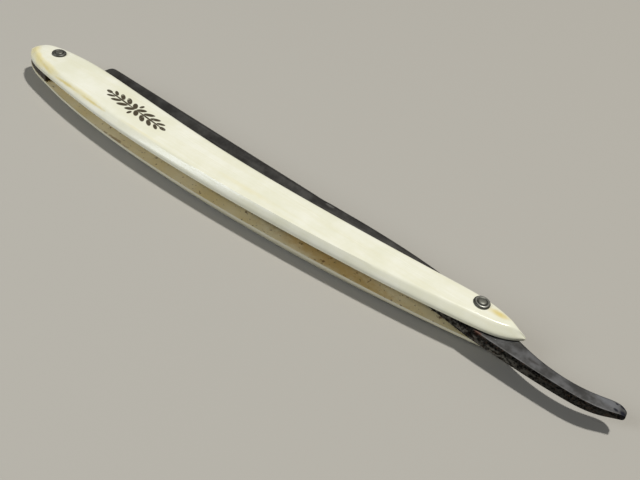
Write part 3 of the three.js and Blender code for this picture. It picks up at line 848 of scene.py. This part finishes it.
# Polish and a painted highlight: a lighter ring on each collar's crest.
colour = mix(tree, calc(tree, "MULTIPLY", polish_and_highlight, 0.6), colour, polished_highlight_nickel)
colour = mix(tree, calc(tree, "MULTIPLY", wear["Fleck"], 0.7), colour, nickel_fleck)
tree.links.new(colour, shader.inputs["Base Color"])
rough = calc(tree, "MULTIPLY_ADD", wear["Cloud"], 0.25, 0.34)
tree.links.new(calc(tree, "MULTIPLY_ADD", polish_and_highlight, -0.15, rough), shader.inputs["Roughness"])
bump = node(tree, "Bump", {"Height": wear["Cloud"], "Distance": 0.05 * MM, "Strength": 0.4})
tree.links.new(bump.outputs[0], shader.inputs["Normal"])

bore = hole_radius / MM
collar_profile = [
    (bore, 0.0),
    (1.93, 0.0),
    (1.95, 0.1),
    (1.93, 0.24),
    (1.84, 0.38),
    (1.68, 0.49),
    (1.5, 0.54),
    (1.34, 0.54),
    (1.22, 0.5),
    (1.12, 0.43),
    (1.08, 0.4),
    (bore, 0.4),
    (bore, 0.0),
]

# A peened head, from the pin's body up to its top: radius, and depth below the top.
head_profile = [
    (0.8, 0.28),
    (1.02, 0.28),
    (1.05, 0.24),
    (1.008, 0.16),
    (0.84, 0.075),
    (0.546, 0.02),
    (0.21, 0.0),
]
for end, x in (("pivot", pivot.x), ("wedge", wedge_rivet_x)):
    for side, direction in (("front", 1), ("back", -1)):
        cad_name = f"{side}_{end}_collar"
        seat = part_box(cad_name)[0][2] if direction > 0 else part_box(cad_name)[1][2]
        collar = turned(f"{side}_{end}_cup_collar", x, seat, direction, collar_profile, closed=True)
        collar.data.materials.append(nickel)
        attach(collar, "handle")
        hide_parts(cad_name)
    low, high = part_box(f"{end}_pin")
    length = (high[2] - low[2]) / MM
    upper_head = [(radius, length - depth) for radius, depth in head_profile]
    pin = turned(f"{end}_peened_pin", x, low[2], 1, head_profile[::-1] + upper_head)
    pin.data.materials.append(nickel)
    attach(pin, "handle")
    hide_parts(f"{end}_pin")

brown_brass = (0.12, 0.075, 0.03, 1)
yellow_brass = (0.38, 0.26, 0.11, 1)
brass_fleck = (0.04, 0.025, 0.012, 1)
brass, tree, shader = new_material("dull brass", IOR=1.5, Metallic=0.8)
wear = use(tree, aged, {"Streaks": 2400.0, "Clouds": 700.0, "Flecks": 2600.0, "Fleck amount": 0.6})
colour = mix(tree, ramp(tree, wear["Cloud"], 0.35, 0.68), brown_brass, yellow_brass)
colour = mix(tree, wear["Fleck"], colour, brass_fleck)
tree.links.new(colour, shader.inputs["Base Color"])
tree.links.new(calc(tree, "MULTIPLY_ADD", wear["Cloud"], 0.3, 0.25), shader.inputs["Roughness"])
washer_profile = [
    (bore, 0.0),
    (2.43, 0.0),
    (2.46, 0.04),
    (2.46, 0.21),
    (2.43, 0.25),
    (bore, 0.25),
    (bore, 0.0),
]
for side in ("front", "back"):
    cad_name = f"{side}_pivot_washer"
    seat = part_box(cad_name)[0][2]
    washer = turned(f"{side}_thin_washer", pivot.x, seat, 1, washer_profile, closed=True)
    washer.data.materials.append(brass)
    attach(washer, "handle")
    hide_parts(cad_name)


# ---------------------------------------------------------------- floor, light and camera
# A pale, plain table top. The key light stands high up, on the spine side and a little towards the tail, and
# a bluish panel stands low on the belly side, towards the closed end. Weak light comes from all round. The
# camera looks down on the belly side of the closed razor.

floor_size = 4
floor_grey = (0.42, 0.403, 0.363, 1)
bpy.ops.object.select_all(action="DESELECT")
bpy.ops.mesh.primitive_plane_add(size=floor_size, location=(0, 0, 0))
floor = bpy.context.object
floor.name = "floor"
floor_finish = {"Base_Color": floor_grey, "Roughness": 0.95, "Specular_IOR_Level": 0.2}
floor.data.materials.append(new_material("pale floor", **floor_finish)[0])

sky_colour = (1.0, 0.97, 0.92, 1)
sky_strength = 0.12
world = bpy.data.worlds.new("studio")
bpy.context.scene.world = world
world.use_nodes = True
background = world.node_tree.nodes["Background"]
background.inputs["Color"].default_value = sky_colour
background.inputs["Strength"].default_value = sky_strength

# Each light: direction from the razor's middle, distance and size in metres, power and colour.
soft_lights = {
    "key": ((0.19, 0.232, 0.954), 1.9, (0.13, 0.13), 31.0, (1.0, 0.985, 0.95)),
    "panel": ((-0.48, -0.69, 0.54), 0.75, (0.26, 0.36), 2.0, (0.87, 0.93, 1.0)),
}
for name, (direction, distance, size, power, tint) in soft_lights.items():
    lamp = bpy.data.lights.new(name, "AREA")
    lamp.shape = "RECTANGLE"
    lamp.size, lamp.size_y = size
    lamp.energy = power
    lamp.color = tint
    holder = bpy.data.objects.new(name, lamp)
    bpy.context.collection.objects.link(holder)
    holder.location = distance * Vector(direction)
    holder.rotation_euler = (-Vector(direction)).to_track_quat("-Z", "Y").to_euler()
bpy.context.scene.view_settings.view_transform = "Standard"

# The camera's lens and turns, and its place from the pivot and above the floor in millimetres.
lens_length, sensor_width = 39.4, 36
heading, downward, tilt = 24.4, 40.9, 15.0
tailward, bellyward, height = 12.3, 118.3, 112.7
camera_data = bpy.data.cameras.new("camera")
camera_data.sensor_width = sensor_width
camera_data.lens = lens_length
camera = bpy.data.objects.new("camera", camera_data)
bpy.context.collection.objects.link(camera)
aim = Matrix.Rotation(radians(heading), 4, "Z") @ Matrix.Rotation(radians(90 - downward), 4, "X")
camera.rotation_euler = (aim @ Matrix.Rotation(radians(tilt), 4, "Z")).to_euler()
camera.location = (pivot.x + tailward * MM, pivot.y - bellyward * MM, height * MM)
bpy.context.scene.camera = camera
